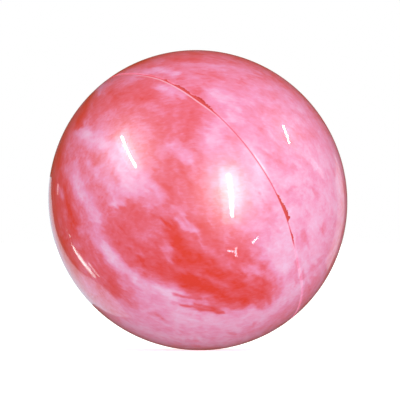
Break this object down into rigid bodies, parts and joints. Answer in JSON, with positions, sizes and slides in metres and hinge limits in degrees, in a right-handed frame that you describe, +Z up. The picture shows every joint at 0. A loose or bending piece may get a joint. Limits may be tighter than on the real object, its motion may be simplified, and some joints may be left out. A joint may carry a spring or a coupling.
{
  "type": "inflatable ball",
  "caption": "Round glossy ball moulded in one soft marbled skin with an equatorial parting groove, inflated through a flush valve that a pull-out ribbed stopper closes.",
  "frame": {"origin": "centre of the blown-up ball", "axes": "+Z up with the ball lying on the ground; the valve points to +X and +Y and upwards, 32.1 degrees from +X towards +Y and 32.7 degrees above the horizontal; -Y is the front, the side without the valve"},
  "size_m": [0.2226, 0.224, 0.2236],
  "materials": {
    "marbled_pvc": "glossy moulded soft PVC, red pigment marbled into pink",
    "valve_pvc": "satin soft PVC",
    "stopper_pvc": "satin moulded PVC"
  },
  "bodies": {
    "ball": {"ball_skin": "marbled_pvc", "valve_housing": "valve_pvc"},
    "stopper": {"stopper": "stopper_pvc"}
  },
  "joints": [
    {"name": "stopper_pull", "type": "slide", "parent": "ball", "child": "stopper", "axis": [0.7129, 0.4472, 0.5402], "range_m": [0, 0.03]}
  ]
}
